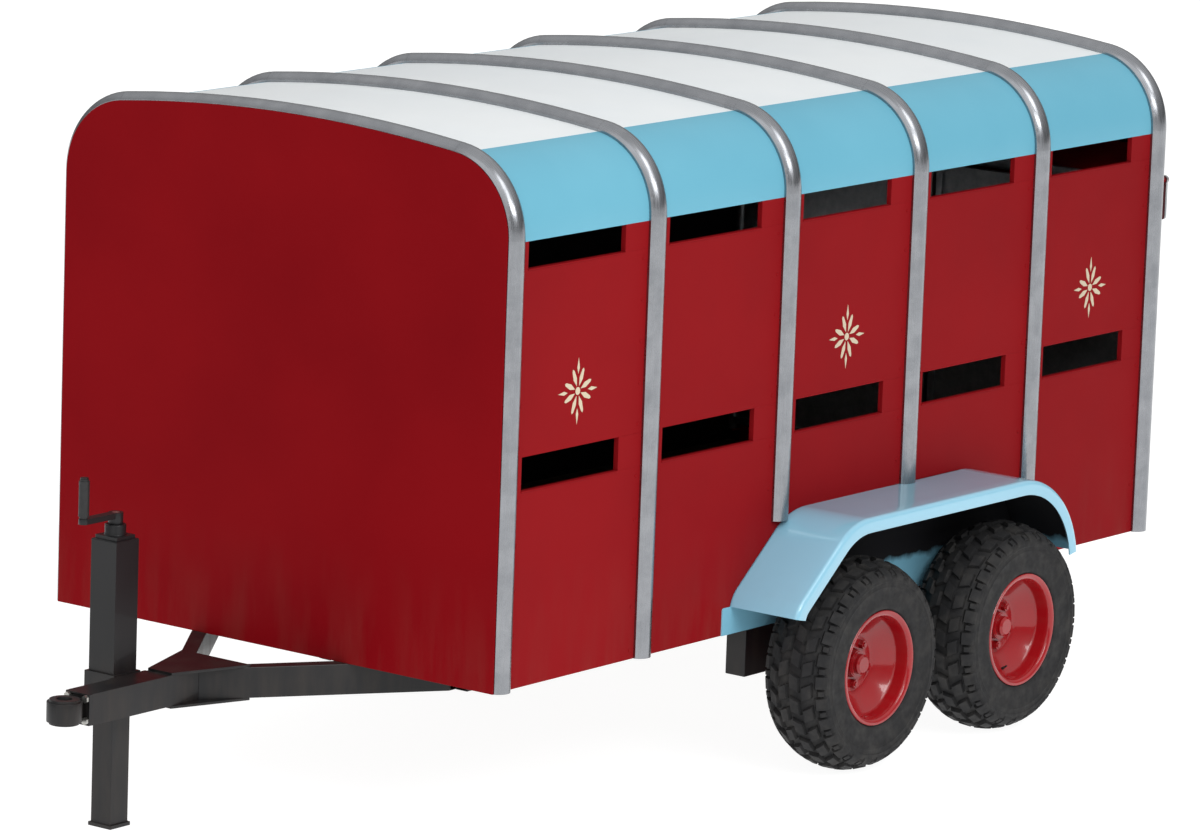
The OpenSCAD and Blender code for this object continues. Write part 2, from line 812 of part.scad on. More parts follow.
module rim() {
    outer = rim_half;
    seat = bead_w + face_gap;
    lip_r = rim_r + bead_h - 2;
    inner_r = rim_r - rim_wall;
    slope = (inner_r - dish_r) / (dish_a - disc_t);
    back_r = dish_r + disc_t * sqrt(1 + slope * slope) - disc_t * slope;
    color(RED) difference() {
        rotate_extrude() polygon([
            [inner_r, -outer], [lip_r, -outer], [lip_r, -seat], [rim_r, -seat], [rim_r, seat], [lip_r, seat],
            [lip_r, outer], [inner_r, outer], [inner_r, dish_a], [dish_r, disc_t], [pilot_r + bolt_gap, disc_t],
            [pilot_r + bolt_gap, 0], [back_r, 0], [inner_r, (inner_r - back_r) / slope]
        ]);
        around_studs() translate([0, 0, -1]) cylinder(h = disc_t + 2, r = stud_r + 1);
    }
}

module tyre() {
    seat = rim_r + face_gap;
    wall = tyre_w / 2;
    color("black") rotate_extrude($fn = 180) intersection() {
        translate([tyre_r - crown_bend_r, 0]) circle(crown_bend_r);
        polygon([
            [seat, -bead_w], [rim_r + bead_h, -bead_w], [rim_r + bead_h, -rim_half], [rim_r + sidewall_h, -wall],
            [tyre_r + 1, -wall], [tyre_r + 1, wall],
            [rim_r + sidewall_h, wall], [rim_r + bead_h, rim_half], [rim_r + bead_h, bead_w], [seat, bead_w]
        ]);
    }
}

module wheel_nuts() {
    color(SILVER) around_studs() translate([0, 0, disc_t]) difference() {
        cylinder(h = nut_h, r = nut_r, $fn = 6);
        translate([0, 0, -1]) cylinder(h = nut_h + 2, r = stud_r + running);
    }
}

// Jack

module jack_box(low, high, width) {
    block([jack_x - width / 2, jack_y - width / 2, low], [jack_x + width / 2, jack_y + width / 2, high]);
}

module jack_round(low, high, radius) {
    translate([jack_x, jack_y, low]) cylinder(h = high - low, r = radius);
}

module jack_clamp() {
    inner = jack_w + 2 * face_gap;
    low = pole_z - clamp_h / 2;
    pad_t = clamp_wall - 1;
    color(BLACK) difference() {
        union() {
            jack_box(low, low + clamp_h, inner + 2 * clamp_wall);
            block([jack_x - clamp_pad, -pole_w / 2 - pad_t, deck_h - rail_h], [jack_x + clamp_pad, -pole_w / 2, deck_h]);
        }
        jack_box(low - 1, low + clamp_h + 1, inner);
        clamp_bolt_places() translate([0, 0, -1]) cylinder(h = pad_t + 2, r = bolt_r + bolt_gap);
        clamp_bolt_places() translate([0, 0, pad_t]) cylinder(h = 2 * bolt_head_h, r = bolt_head_r + 1);
    }
}

module jack_tube() {
    inner = jack_w - 2 * jack_wall;
    color(BLACK) difference() {
        union() {
            jack_box(deck_h - jack_down, jack_top, jack_w);
            jack_box(jack_top - 1, jack_top + jack_cap_t, jack_w - 2 * jack_wall);
            jack_round(jack_top, jack_top + jack_cap_t + jack_boss_h, jack_boss_r);
        }
        jack_box(deck_h - jack_down - 1, jack_top - jack_wall, inner);
        jack_round(jack_top - 2 * jack_wall, crank_z + 1, screw_r + running);
    }
}

module jack_screw() {
    collar = 8;
    color(SILVER) {
        jack_round(screw_low, crank_z + crank_hub_h, screw_r);
        jack_round(jack_top - jack_wall - collar - 1, jack_top - jack_wall - 1, screw_r + 6);
    }
}

module jack_leg() {
    inner = jack_leg_w - 2 * jack_leg_wall;
    color(BLACK) difference() {
        union() {
            jack_box(0, jack_leg_top, jack_leg_w);
            jack_box(0, jack_foot_t, jack_foot_w);
        }
        jack_box(jack_foot_t, jack_leg_top - nut_block_h, inner);
        jack_round(jack_leg_top - nut_block_h - 1, jack_leg_top + 1, screw_r + running);
    }
}

module jack_crank() {
    arm_z = crank_z + crank_hub_h - crank_arm_h;
    grip_x = jack_x + crank_throw;
    color(BLACK) difference() {
        union() {
            jack_round(crank_z, crank_z + crank_hub_h, crank_hub_r);
            block([jack_x, jack_y - crank_arm_w / 2, arm_z], [grip_x, jack_y + crank_arm_w / 2, arm_z + crank_arm_h]);
            translate([grip_x, jack_y, arm_z]) cylinder(h = crank_arm_h, r = crank_arm_w / 2);
            translate([grip_x, jack_y, arm_z]) cylinder(h = crank_arm_h + grip_l + 6, r = grip_pin_r);
            translate([grip_x, jack_y, arm_z + crank_arm_h + grip_l + 2]) cylinder(h = 4, r = grip_pin_r + 4);
        }
        jack_round(crank_z - 1, crank_z + crank_hub_h + 1, screw_r + running);
    }
}

module crank_grip() {
    low = crank_z + crank_hub_h + 1;
    color("black") translate([jack_x + crank_throw, jack_y, low]) difference() {
        union() {
            cylinder(h = grip_l, r = grip_r - 3);
            translate([0, 0, 6]) cylinder(h = grip_l - 12, r = grip_r);
        }
        translate([0, 0, -1]) cylinder(h = grip_l + 2, r = grip_pin_r + running);
    }
}

// Ramp, latches and gates

module ramp() {
    outer_x = rear_x - ramp_gap - ramp_t;
    inner_x = rear_x - ramp_gap;
    rail_x = inner_x - ramp_board_t;
    color(RED) difference() {
        union() {
            block([rail_x, -ramp_half, ramp_low], [inner_x, ramp_half, ramp_high]);
            for (z = [ramp_low, ramp_high - ramp_rail_w])
                block([outer_x, -ramp_half, z], [rail_x, ramp_half, z + ramp_rail_w]);
            for (y = [-ramp_half, -ramp_half / 3 - ramp_rail_w / 2, ramp_half / 3 - ramp_rail_w / 2, ramp_half - ramp_rail_w])
                block([outer_x, y, ramp_low], [rail_x, y + ramp_rail_w, ramp_high]);
            for (place = hinge_places) {
                along_y(place - hinge_l / 2, place + hinge_l / 2) translate([hinge_x, hinge_z]) circle(hinge_r);
                block([outer_x, place - hinge_l / 2, hinge_z], [hinge_x + hinge_r, place + hinge_l / 2, ramp_low + 1]);
            }
        }
        along_y(-ramp_half, ramp_half) translate([hinge_x, hinge_z]) circle(hinge_pin_r + running);
    }
}

module ramp_cleats() {
    inner_x = rear_x - ramp_gap;
    half = door_w / 2 - cleat_margin;
    pitch = (ramp_high - ramp_low) / (cleat_count + 1);
    color("silver") for (i = [1:cleat_count]) block(
        [inner_x, -half, ramp_low + i * pitch - cleat_w / 2],
        [inner_x + cleat_h, half, ramp_low + i * pitch + cleat_w / 2]);
}

module ramp_hinge_pins() {
    long = hinge_l + 2 * (hinge_lug_l + hinge_lug_gap);
    color(SILVER) for (place = hinge_places) {
        along_y(place - long / 2 - 4, place + long / 2 + 4) translate([hinge_x, hinge_z]) circle(hinge_pin_r);
        along_y(place + long / 2 + 1, place + long / 2 + 8) translate([hinge_x, hinge_z]) circle(hinge_pin_r + 4);
    }
}

module ramp_latch(side) {
    color(SILVER) translate([rear_x - latch_stack, side * latch_y, latch_z]) rotate([0, -90, 0]) difference() {
        union() {
            cylinder(h = latch_t, r = latch_w / 2 + 4);
            translate([-latch_l, -latch_w / 2, 0]) cube([latch_l, latch_w, latch_t]);
            translate([-latch_l, 0, 0]) cylinder(h = latch_t, r = latch_w / 2);
        }
        translate([0, 0, -1]) cylinder(h = latch_t + 2, r = latch_pin_r + running);
    }
}

module gate_leaf() {
    high = gate_low + gate_h;
    x0 = gate_x - gate_bar / 2;
    x1 = gate_x + gate_bar / 2;
    difference() {
        union() {
            translate([gate_x, gate_y, gate_low]) cylinder(h = gate_h, r = gate_post_r);
            for (z = [gate_low + 20, (gate_low + high) / 2, high - 20 - gate_bar])
                block([x0, gate_mid_gap, z], [x1, gate_y, z + gate_bar]);
            block([x0, gate_mid_gap, gate_low + 20], [x1, gate_mid_gap + gate_bar, high - 20]);
            block(
                [gate_x - gate_sheet_t / 2, gate_mid_gap, gate_low + 20],
                [gate_x + gate_sheet_t / 2, gate_y, high - 20]);
        }
        for (z = [gate_low - 1, high - gate_pin_l - 2]) translate([gate_x, gate_y, z])
            cylinder(h = gate_pin_l + 3, r = gate_pin_r + running);
    }
}

module gate(side) {
    color(SILVER) on_side(side) gate_leaf();
}

floor();
front_panel();
rear_frame();
side_sheet(1, 0, low_slot_z);  // side_lower_left
side_sheet(-1, 0, low_slot_z);  // side_lower_right
side_sheet(1, low_slot_z + low_slot_h, top_slot_z);  // side_upper_left
side_sheet(-1, low_slot_z + low_slot_h, top_slot_z);  // side_upper_right
vent_pillars();
shoulder(1);  // shoulder_left
shoulder(-1);  // shoulder_right
roof_sheet();
hoop(0);  // hoop_1
hoop(1);  // hoop_2
hoop(2);  // hoop_3
hoop(3);  // hoop_4
hoop(4);  // hoop_5
hoop(5);  // hoop_6
mudguard(1);  // mudguard_left
mudguard(-1);  // mudguard_right
chassis_rails();
crossmembers();
drawbar_legs();
drawbar_pole();
tow_eye();
drawbar_bolts();
bogie_beams();
pivot_shaft();
rocker(1);  // rocker_left
rocker(-1);  // rocker_right
wheel_bearings(1);  // wheel_bearings_left
wheel_bearings(-1);  // wheel_bearings_right
at_wheel(1, 1) hub();  // hub_front_left
at_wheel(1, 1) rim();  // rim_front_left
at_wheel(1, 1) tyre();  // tyre_front_left
at_wheel(1, 1) wheel_nuts();  // wheel_nuts_front_left
at_wheel(1, -1) hub();  // hub_rear_left
at_wheel(1, -1) rim();  // rim_rear_left
at_wheel(1, -1) tyre();  // tyre_rear_left
at_wheel(1, -1) wheel_nuts();  // wheel_nuts_rear_left
at_wheel(-1, 1) hub();  // hub_front_right
at_wheel(-1, 1) rim();  // rim_front_right
at_wheel(-1, 1) tyre();  // tyre_front_right
at_wheel(-1, 1) wheel_nuts();  // wheel_nuts_front_right
at_wheel(-1, -1) hub();  // hub_rear_right
at_wheel(-1, -1) rim();  // rim_rear_right
at_wheel(-1, -1) tyre();  // tyre_rear_right
at_wheel(-1, -1) wheel_nuts();  // wheel_nuts_rear_right
jack_clamp();
jack_tube();
jack_screw();
jack_leg();
jack_crank();
crank_grip();
ramp();
ramp_cleats();
ramp_hinge_pins();
ramp_latch(1);  // ramp_latch_left
ramp_latch(-1);  // ramp_latch_right
gate(1);  // gate_left
gate(-1);  // gate_right
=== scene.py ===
import math

import bmesh
import bpy
from mathutils import Matrix, Vector


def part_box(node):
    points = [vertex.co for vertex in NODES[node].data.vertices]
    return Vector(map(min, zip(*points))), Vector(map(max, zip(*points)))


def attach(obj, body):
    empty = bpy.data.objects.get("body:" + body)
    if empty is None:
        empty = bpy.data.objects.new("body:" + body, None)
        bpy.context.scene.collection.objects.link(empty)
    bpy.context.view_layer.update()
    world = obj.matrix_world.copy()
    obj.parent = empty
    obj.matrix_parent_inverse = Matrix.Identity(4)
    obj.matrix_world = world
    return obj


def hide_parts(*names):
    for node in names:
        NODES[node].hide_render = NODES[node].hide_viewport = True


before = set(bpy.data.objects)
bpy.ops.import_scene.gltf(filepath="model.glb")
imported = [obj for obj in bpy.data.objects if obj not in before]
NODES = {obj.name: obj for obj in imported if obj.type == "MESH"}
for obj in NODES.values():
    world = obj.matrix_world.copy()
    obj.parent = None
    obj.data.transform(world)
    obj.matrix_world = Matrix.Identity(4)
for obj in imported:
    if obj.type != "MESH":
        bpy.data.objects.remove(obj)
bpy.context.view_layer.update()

MM = 0.001
WHEELS = ("front_left", "rear_left", "front_right", "rear_right")

# Places that the looks are hung on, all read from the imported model
FRONT_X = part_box("front_panel")[1].x
BODY_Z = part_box("side_lower_left")[0].z
SIDE_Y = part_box("side_lower_left")[1].y
HOOP_X = [(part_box(f"hoop_{i}")[0].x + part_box(f"hoop_{i}")[1].x) / 2 for i in range(1, 7)]
HOOP_HALF = (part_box("hoop_1")[1].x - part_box("hoop_1")[0].x) / 2


# ---------------------------------------------------------------- materials

class Nodes:
    """A small helper that builds one node material around a Principled shader."""

    def __init__(self, name):
        self.material = bpy.data.materials.new(name)
        self.material.use_nodes = True
        self.tree = self.material.node_tree
        self.shader = self.tree.nodes["Principled BSDF"]
        coordinates = self.add("ShaderNodeTexCoord")
        self.place = coordinates.outputs["Object"]

    def add(self, kind, **settings):
        node = self.tree.nodes.new(kind)
        for key, value in settings.items():
            setattr(node, key, value)
        return node

    def link(self, out, into):
        self.tree.links.new(out, into)

    def scaled(self, sizes):
        mapping = self.add("ShaderNodeMapping")
        mapping.inputs["Scale"].default_value = sizes
        self.link(self.place, mapping.inputs["Vector"])
        return mapping.outputs["Vector"]

    def noise(self, scale, detail=3.0, rough=0.5, vector=None):
        node = self.add("ShaderNodeTexNoise")
        node.inputs["Scale"].default_value = scale
        node.inputs["Detail"].default_value = detail
        node.inputs["Roughness"].default_value = rough
        self.link(vector or self.place, node.inputs["Vector"])
        return node.outputs["Fac"]

    def remap(self, value, low, high, to_low=0.0, to_high=1.0):
        node = self.add("ShaderNodeMapRange")
        node.inputs["From Min"].default_value = low
        node.inputs["From Max"].default_value = high
        node.inputs["To Min"].default_value = to_low
        node.inputs["To Max"].default_value = to_high
        self.link(value, node.inputs["Value"])
        return node.outputs["Result"]

    def mix(self, share, first, second):
        node = self.add("ShaderNodeMix", data_type="RGBA")
        self.link(share, node.inputs["Factor"])
        for socket, colour in ((node.inputs["A"], first), (node.inputs["B"], second)):
            if isinstance(colour, tuple):
                socket.default_value = (*colour, 1)
            else:
                self.link(colour, socket)
        return node.outputs["Result"]

    def math(self, operation, first, second):
        node = self.add("ShaderNodeMath", operation=operation)
        for socket, value in zip(node.inputs, (first, second)):
            if isinstance(value, (int, float)):
                socket.default_value = value
            else:
                self.link(value, socket)
        return node.outputs["Value"]

    def axis(self, name):
        node = self.add("ShaderNodeSeparateXYZ")
        self.link(self.place, node.inputs["Vector"])
        return node.outputs[name]

    def bump(self, *layers):
        """Layers of (height, strength, distance), the first one deepest."""
        normal = None
        for height, strength, distance in layers:
            node = self.add("ShaderNodeBump")
            node.inputs["Strength"].default_value = strength
            node.inputs["Distance"].default_value = distance
            self.link(height, node.inputs["Height"])
            if normal:
                self.link(normal, node.inputs["Normal"])
            normal = node.outputs["Normal"]
        self.link(normal, self.shader.inputs["Normal"])

    def set(self, **values):
        for key, value in values.items():
            socket = self.shader.inputs[key.replace("_", " ")]
            if isinstance(value, (int, float)):
                socket.default_value = value
            elif isinstance(value, tuple):
                socket.default_value = (*value, 1)
            else:
                self.link(value, socket)
        return self.material


def paint(name, colour, shade, rough=0.28, coat=0.6, grime=0.25, grime_top=0.9, specular=0.3):
    """Sprayed enamel: cloudy colour, orange peel, slow panel waviness, and road film towards the ground."""
    n = Nodes(name)
    clouds = n.remap(n.noise(1.6, 4.0), 0.35, 0.7)
    body = n.mix(clouds, colour, shade)
    streaks = n.noise(7.0, 5.0, 0.6, n.scaled((2.0, 2.0, 0.35)))
    low = n.remap(n.axis("Z"), 0.45, grime_top, 1.0, 0.0)
    film = n.math("MULTIPLY", n.math("MULTIPLY", low, n.remap(streaks, 0.42, 0.75)), grime)
    body = n.mix(film, body, (0.16, 0.12, 0.09))
    n.bump((n.noise(2.2, 1.0), 0.05, 0.01), (n.noise(300.0, 1.0), 0.03, 0.0003))
    wear = n.remap(n.noise(9.0, 3.0), 0.3, 0.8, rough - 0.03, rough + 0.04)
    worn = n.math("ADD", wear, n.math("MULTIPLY", film, 0.6))
    return n.set(Base_Color=body, Roughness=worn, Coat_Weight=coat, Coat_Roughness=0.06, IOR=1.5,
                 Specular_IOR_Level=specular)


def metal(name, colour, shade, rough=0.32, grain=(1.0, 1.0, 60.0), metallic=1.0, blotch=12.0):
    """Rolled or plated metal: a directional grain, blotches, and fine pitting."""
    n = Nodes(name)
    lines = n.noise(9.0, 3.0, 0.6, n.scaled(grain))
    spots = n.noise(blotch, 5.0, 0.65)
    body = n.mix(n.remap(spots, 0.35, 0.7), colour, shade)
    sheen = n.remap(lines, 0.3, 0.7, rough - 0.06, rough + 0.06)
    tone = n.math("ADD", sheen, n.remap(spots, 0.4, 0.8, 0.0, 0.08))
    n.bump((lines, 0.06, 0.0004), (n.noise(260.0, 2.0), 0.04, 0.0004))
    return n.set(Base_Color=body, Roughness=tone, Metallic=metallic)


def rubber(name):
    """Tyre rubber: near black, dusty on the tread, with fine circular mould lines."""
    n = Nodes(name)
    dust = n.remap(n.noise(16.0, 6.0, 0.65), 0.45, 0.75)
    radius = n.add("ShaderNodeVectorMath", operation="LENGTH")
    flat = n.scaled((1.0, 1.0, 0.0))
    n.link(flat, radius.inputs[0])
    rings = n.math("SINE", n.math("MULTIPLY", radius.outputs["Value"], 1400.0), 0.0)
    body = n.mix(dust, (0.012, 0.012, 0.013), (0.035, 0.033, 0.031))
    n.bump((rings, 0.10, 0.0004), (n.noise(300.0, 3.0), 0.25, 0.0006))
    dull = n.remap(n.noise(40.0, 3.0), 0.3, 0.7, 0.62, 0.82)
    return n.set(Base_Color=body, Roughness=dull, Specular_IOR_Level=0.35)


def plastic(name, colour, rough=0.5):
    """Moulded plastic with a fine leathery grain."""
    n = Nodes(name)
    cells = n.add("ShaderNodeTexVoronoi")
    cells.inputs["Scale"].default_value = 900.0
    n.link(n.place, cells.inputs["Vector"])
    body = n.mix(n.remap(n.noise(30.0, 4.0), 0.35, 0.7), colour, tuple(0.75 * c for c in colour))
    n.bump((cells.outputs["Distance"], 0.2, 0.0004))
    dull = n.remap(n.noise(60.0, 3.0), 0.3, 0.7, rough - 0.06, rough + 0.08)
    return n.set(Base_Color=body, Roughness=dull)


def plywood(name):
    """Resin-faced plywood floor: long grain, wire-mesh print and hoof scuffs."""
    n = Nodes(name)
    grain = n.noise(6.0, 6.0, 0.65, n.scaled((1.0, 14.0, 14.0)))
    body = n.mix(n.remap(grain, 0.35, 0.7), (0.085, 0.05, 0.03), (0.16, 0.10, 0.06))
    body = n.mix(n.remap(n.noise(5.0, 7.0, 0.7), 0.52, 0.72), body, (0.24, 0.19, 0.13))
    mesh = n.add("ShaderNodeTexVoronoi", feature="DISTANCE_TO_EDGE")
    mesh.inputs["Scale"].default_value = 90.0
    n.link(n.place, mesh.inputs["Vector"])
    n.bump((grain, 0.2, 0.001), (mesh.outputs["Distance"], 0.3, 0.001))
    return n.set(Base_Color=body, Roughness=n.remap(grain, 0.3, 0.7, 0.5, 0.7))


def lens(name, colour):
    """Ribbed lamp lens."""
    n = Nodes(name)
    ribs = n.math("SINE", n.math("MULTIPLY", n.axis("Y"), 1600.0), 0.0)
    body = n.mix(n.remap(n.noise(50.0, 2.0), 0.3, 0.7), colour, tuple(0.7 * c for c in colour))
    n.bump((ribs, 0.5, 0.001))
    return n.set(Base_Color=body, Roughness=0.12, Coat_Weight=0.8, Coat_Roughness=0.05)


# One red enamel in two copies: the front's below, and the sides' copy after it, painted lighter as a painted
# highlight for the light falling on the sides.
RED = paint(
    "red_enamel", (0.228, 0.003, 0.006), (0.196, 0.002, 0.005),
    rough=0.45, coat=0.0, grime=0.12, specular=0.03)
# Painted highlight: the front's red, painted lighter for the sides.
SIDE_RED_PAINTED_LIGHTER = paint(
    "red_enamel_side_painted_lighter", (0.272, 0.007, 0.010), (0.235, 0.006, 0.009),
    rough=0.45, coat=0.0, grime=0.12, specular=0.03)
WHEEL_RED = paint(
    "red_enamel_wheel", (0.36, 0.005, 0.009), (0.28, 0.004, 0.008),
    rough=0.20, coat=0.6, grime=0.08)
BLUE = paint(
    "blue_enamel", (0.160, 0.455, 0.590), (0.140, 0.420, 0.555),
    rough=0.40, coat=0.0, grime=0.0, specular=0.15)
GUARD_BLUE = paint(
    "blue_enamel_guard", (0.30, 0.60, 0.76), (0.27, 0.56, 0.72),
    rough=0.14, coat=0.9, grime=0.08, grime_top=0.75)
WHITE = paint(
    "white_enamel", (0.90, 0.93, 0.94), (0.86, 0.90, 0.92),
    rough=0.40, coat=0.1, grime=0.0)
BLACK = paint(
    "black_chassis_paint", (0.008, 0.008, 0.009), (0.013, 0.013, 0.014),
    rough=0.42, coat=0.1, grime=0.15, grime_top=0.6)
# Painted shade: near black on every inner face, standing in for the dark inside the body seen through the
# slots.
INSIDE_PAINTED_SHADE = paint(
    "dark_painted_interior_shade", (0.010, 0.006, 0.007), (0.007, 0.005, 0.006),
    rough=0.60, coat=0.0, grime=0.05, specular=0.1)
HOOP = metal(
    "hoop_aluminium", (0.34, 0.35, 0.37), (0.27, 0.28, 0.30),
    rough=0.25, grain=(60.0, 1.0, 1.0))
ZINC = metal(
    "zinc_plate", (0.55, 0.55, 0.53), (0.42, 0.41, 0.37),
    rough=0.36, grain=(8.0, 8.0, 8.0), blotch=40.0)
GALVANISED = metal(
    "galvanised_steel", (0.50, 0.52, 0.53), (0.36, 0.38, 0.40),
    rough=0.45, grain=(4.0, 4.0, 4.0), blotch=26.0)
TYRE = rubber("tyre_rubber")
GRIP = plastic("grip_plastic", (0.018, 0.018, 0.019), 0.55)
LAMP_BLACK = plastic("lamp_housing", (0.015, 0.015, 0.016), 0.45)
LENS_RED = lens("lens_red", (0.42, 0.006, 0.008))
LENS_AMBER = lens("lens_amber", (0.75, 0.20, 0.01))
CREAM = paint(
    "cream_ornament", (0.66, 0.56, 0.40), (0.55, 0.46, 0.33),
    rough=0.40, coat=0.2, grime=0.0)
FLOOR_BOARD = plywood("floor_board")


def guard_painted_shade(name):
    """The mudguard's inside: near-black painted shadow high up under the band, the sheet's blue left at its
    foot, with a stippled bump.
    """
    n = Nodes(name)
    edge = n.math("ADD", n.axis("Z"), n.remap(n.noise(14.0, 4.0), 0.3, 0.7, -0.012, 0.012))
    share = n.remap(edge, 0.600, 0.625)
    stipple = n.noise(160.0, 3.0)
    # Painted shadow: near black above the edge, the guard's own blue below it.
    body = n.mix(share, (0.20, 0.47, 0.62), (0.010, 0.010, 0.012))
    n.bump((stipple, 0.35, 0.0012))
    return n.set(Base_Color=body, Roughness=n.remap(share, 0.0, 1.0, 0.35, 0.85), Specular_IOR_Level=0.15)


GUARD_PAINTED_SHADE = guard_painted_shade("guard_painted_shade")


# ---------------------------------------------------------------- mesh helpers

def piece(name, bm, material, body, smooth=35, matrix=None, mesh=None):
    """Makes one visible piece out of a bmesh (or shares a mesh), and lets it ride on its body."""
    if mesh is None:
        bmesh.ops.recalc_face_normals(bm, faces=bm.faces)
        mesh = bpy.data.meshes.new(name)
        bm.to_mesh(mesh)
        bm.free()
        mesh.materials.append(material)
        mesh.polygons.foreach_set("use_smooth", [True] * len(mesh.polygons))
        mesh.set_sharp_from_angle(angle=math.radians(smooth))
    made = bpy.data.objects.new(name, mesh)
    bpy.context.scene.collection.objects.link(made)
    if matrix is not None:
        made.matrix_world = matrix
    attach(made, body)
    return made


def soft_edges(obj, width, segments=2, angle=40):
    """Rounds the sharp edges, as rolled, folded or ground metal has them."""
    weld = obj.modifiers.new("weld", "WELD")
    weld.merge_threshold = 0.00002
    bevel = obj.modifiers.new("bevel", "BEVEL")
    bevel.width = width
    bevel.segments = segments
    bevel.limit_method = "ANGLE"
    bevel.angle_limit = math.radians(angle)
    bevel.use_clamp_overlap = True
    bevel.harden_normals = False
    return obj


def lathe(bm, profile, steps, closed=True):
    """Turns a profile of (radius, z) points about Z."""
    rings = []
    for k in range(steps):
        turn = 2 * math.pi * k / steps
        rings.append([bm.verts.new((r * math.cos(turn), r * math.sin(turn), z)) for r, z in profile])
    count = len(profile)
    for k in range(steps):
        here, there = rings[k], rings[(k + 1) % steps]
        for i in range(count if closed else count - 1):
            j = (i + 1) % count
            bm.faces.new((here[i], here[j], there[j], there[i]))


def loft(bm, rows, closed_row=True, caps=True):
    """Joins rows of points, each with the same count, into a skin."""
    made = [[bm.verts.new(point) for point in row] for row in rows]
    count = len(rows[0])
    for a, b in zip(made, made[1:]):
        for i in range(count if closed_row else count - 1):
            j = (i + 1) % count
            bm.faces.new((a[i], a[j], b[j], b[i]))
    if caps and closed_row:
        bm.faces.new(made[0])
        bm.faces.new(made[-1])


def box(bm, low, high):
    corners = [(x, y, z) for x in (low[0], high[0]) for y in (low[1], high[1]) for z in (low[2], high[2])]
    v = [bm.verts.new(c) for c in corners]
    for face in ((0, 1, 3, 2), (4, 6, 7, 5), (0, 4, 5, 1), (2, 3, 7, 6), (0, 2, 6, 4), (1, 5, 7, 3)):
        bm.faces.new([v[i] for i in face])


def dome(bm, centre, out, radius, height, sides=10):
    """A rivet or bolt head: a low dome standing on a surface, pointing along out."""
    out = Vector(out).normalized()
    across = out.orthogonal().normalized()
    up = out.cross(across)
    rings = []
    for share, rise in ((1.0, -0.2), (1.0, 0.15), (0.86, 0.6), (0.5, 0.93)):
        rings.append([
            Vector(centre) + out * height * rise
            + (across * math.cos(t) + up * math.sin(t)) * radius * share
            for t in (2 * math.pi * k / sides for k in range(sides))
        ])
    loft(bm, rings)


def material_on(names, material):
    for name in names:
        mesh = NODES[name].data
        mesh.materials.clear()
        mesh.materials.append(material)


def two_sided(name, outer, inner, facing_in):
    """Gives a CAD sheet its outside colour, and the near-black painted shade of the body's dark inside where
    facing_in(normal, centre) is true.
    """
    mesh = NODES[name].data
    mesh.materials.clear()
    mesh.materials.append(outer)
    mesh.materials.append(inner)
    for polygon in mesh.polygons:
        polygon.material_index = 1 if facing_in(polygon.normal, polygon.center) else 0


# ---------------------------------------------------------------- the CAD nodes' finishes

# Inner faces of the panels, roof and shoulders get the near-black painted interior shade.
SIDES = ["side_lower_left", "side_lower_right", "side_upper_left", "side_upper_right", "vent_pillars"]
for name in SIDES:
    two_sided(name, SIDE_RED_PAINTED_LIGHTER, INSIDE_PAINTED_SHADE, lambda n, c: n.y * c.y < 0 and abs(n.y) > 0.9)
two_sided("front_panel", RED, INSIDE_PAINTED_SHADE, lambda n, c: n.x < -0.9)
two_sided("rear_frame", RED, INSIDE_PAINTED_SHADE, lambda n, c: n.x > 0.9)
two_sided("roof_sheet", WHITE, INSIDE_PAINTED_SHADE, lambda n, c: n.z < -0.5)
for name in ("shoulder_left", "shoulder_right"):
    two_sided(name, BLUE, INSIDE_PAINTED_SHADE, lambda n, c: n.y * c.y < -0.02 and n.z < 0.02)
material_on([f"hoop_{i}" for i in range(1, 7)], HOOP)
material_on(["chassis_rails", "crossmembers", "drawbar_legs", "drawbar_pole", "tow_eye", "bogie_beams",
             "rocker_left", "rocker_right", "jack_clamp", "jack_tube", "jack_leg", "jack_crank"], BLACK)
material_on(["drawbar_bolts", "pivot_shaft", "wheel_bearings_left", "wheel_bearings_right", "jack_screw",
             "ramp_hinge_pins"], ZINC)
material_on(["ramp_cleats", "ramp_latch_left", "ramp_latch_right", "gate_left", "gate_right"], GALVANISED)
material_on(["ramp"], RED)
material_on(["crank_grip"], GRIP)
material_on(["floor"], FLOOR_BOARD)
for wheel in WHEELS:
    material_on([f"hub_{wheel}", f"wheel_nuts_{wheel}"], WHEEL_RED)

for name in ("front_panel", "rear_frame", "ramp", "side_lower_left", "side_lower_right", "side_upper_left",
             "side_upper_right"):
    soft_edges(NODES[name], 2.0 * MM)
for name in ("drawbar_pole", "drawbar_legs", "jack_tube", "jack_leg", "jack_clamp", "bogie_beams",
             "rocker_left", "rocker_right", "chassis_rails", "tow_eye", "jack_crank"):
    soft_edges(NODES[name], 3.0 * MM)
for name in ("gate_left", "gate_right", "ramp_cleats", "ramp_latch_left", "ramp_latch_right"):
    soft_edges(NODES[name], 1.5 * MM)


# ---------------------------------------------------------------- wheels

TYRE_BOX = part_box("tyre_front_left")
RIM_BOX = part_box("rim_front_left")
TYRE_R = (TYRE_BOX[1].x - TYRE_BOX[0].x) / 2
TYRE_HALF = (TYRE_BOX[1].y - TYRE_BOX[0].y) / 2
FLANGE_R = (RIM_BOX[1].x - RIM_BOX[0].x) / 2
FLANGE_Z = (RIM_BOX[1].y - RIM_BOX[0].y) / 2
CROWN_R = 189.4 * MM
CROWN_C = TYRE_R - 190 * MM
WALL = TYRE_HALF - 0.5 * MM
CORNER_R = 18 * MM
CORNER_TURN = math.asin((WALL - CORNER_R) / (CROWN_R - CORNER_R))
CORNER_C = CROWN_C + (CROWN_R - CORNER_R) * math.cos(CORNER_TURN)
CROWN_RUN = CROWN_R * CORNER_TURN
CORNER_RUN = CORNER_R * (math.pi / 2 - CORNER_TURN)
TREAD_RUN = 150 * MM
TREAD_DEPTH = 14 * MM
PITCHES = 27


def tread_depth(run):
    """How deep the grooves are, at a distance along the tyre's section from its middle."""
    return TREAD_DEPTH * max(0.0, min(1.0, (TREAD_RUN - abs(run)) / (38 * MM)))


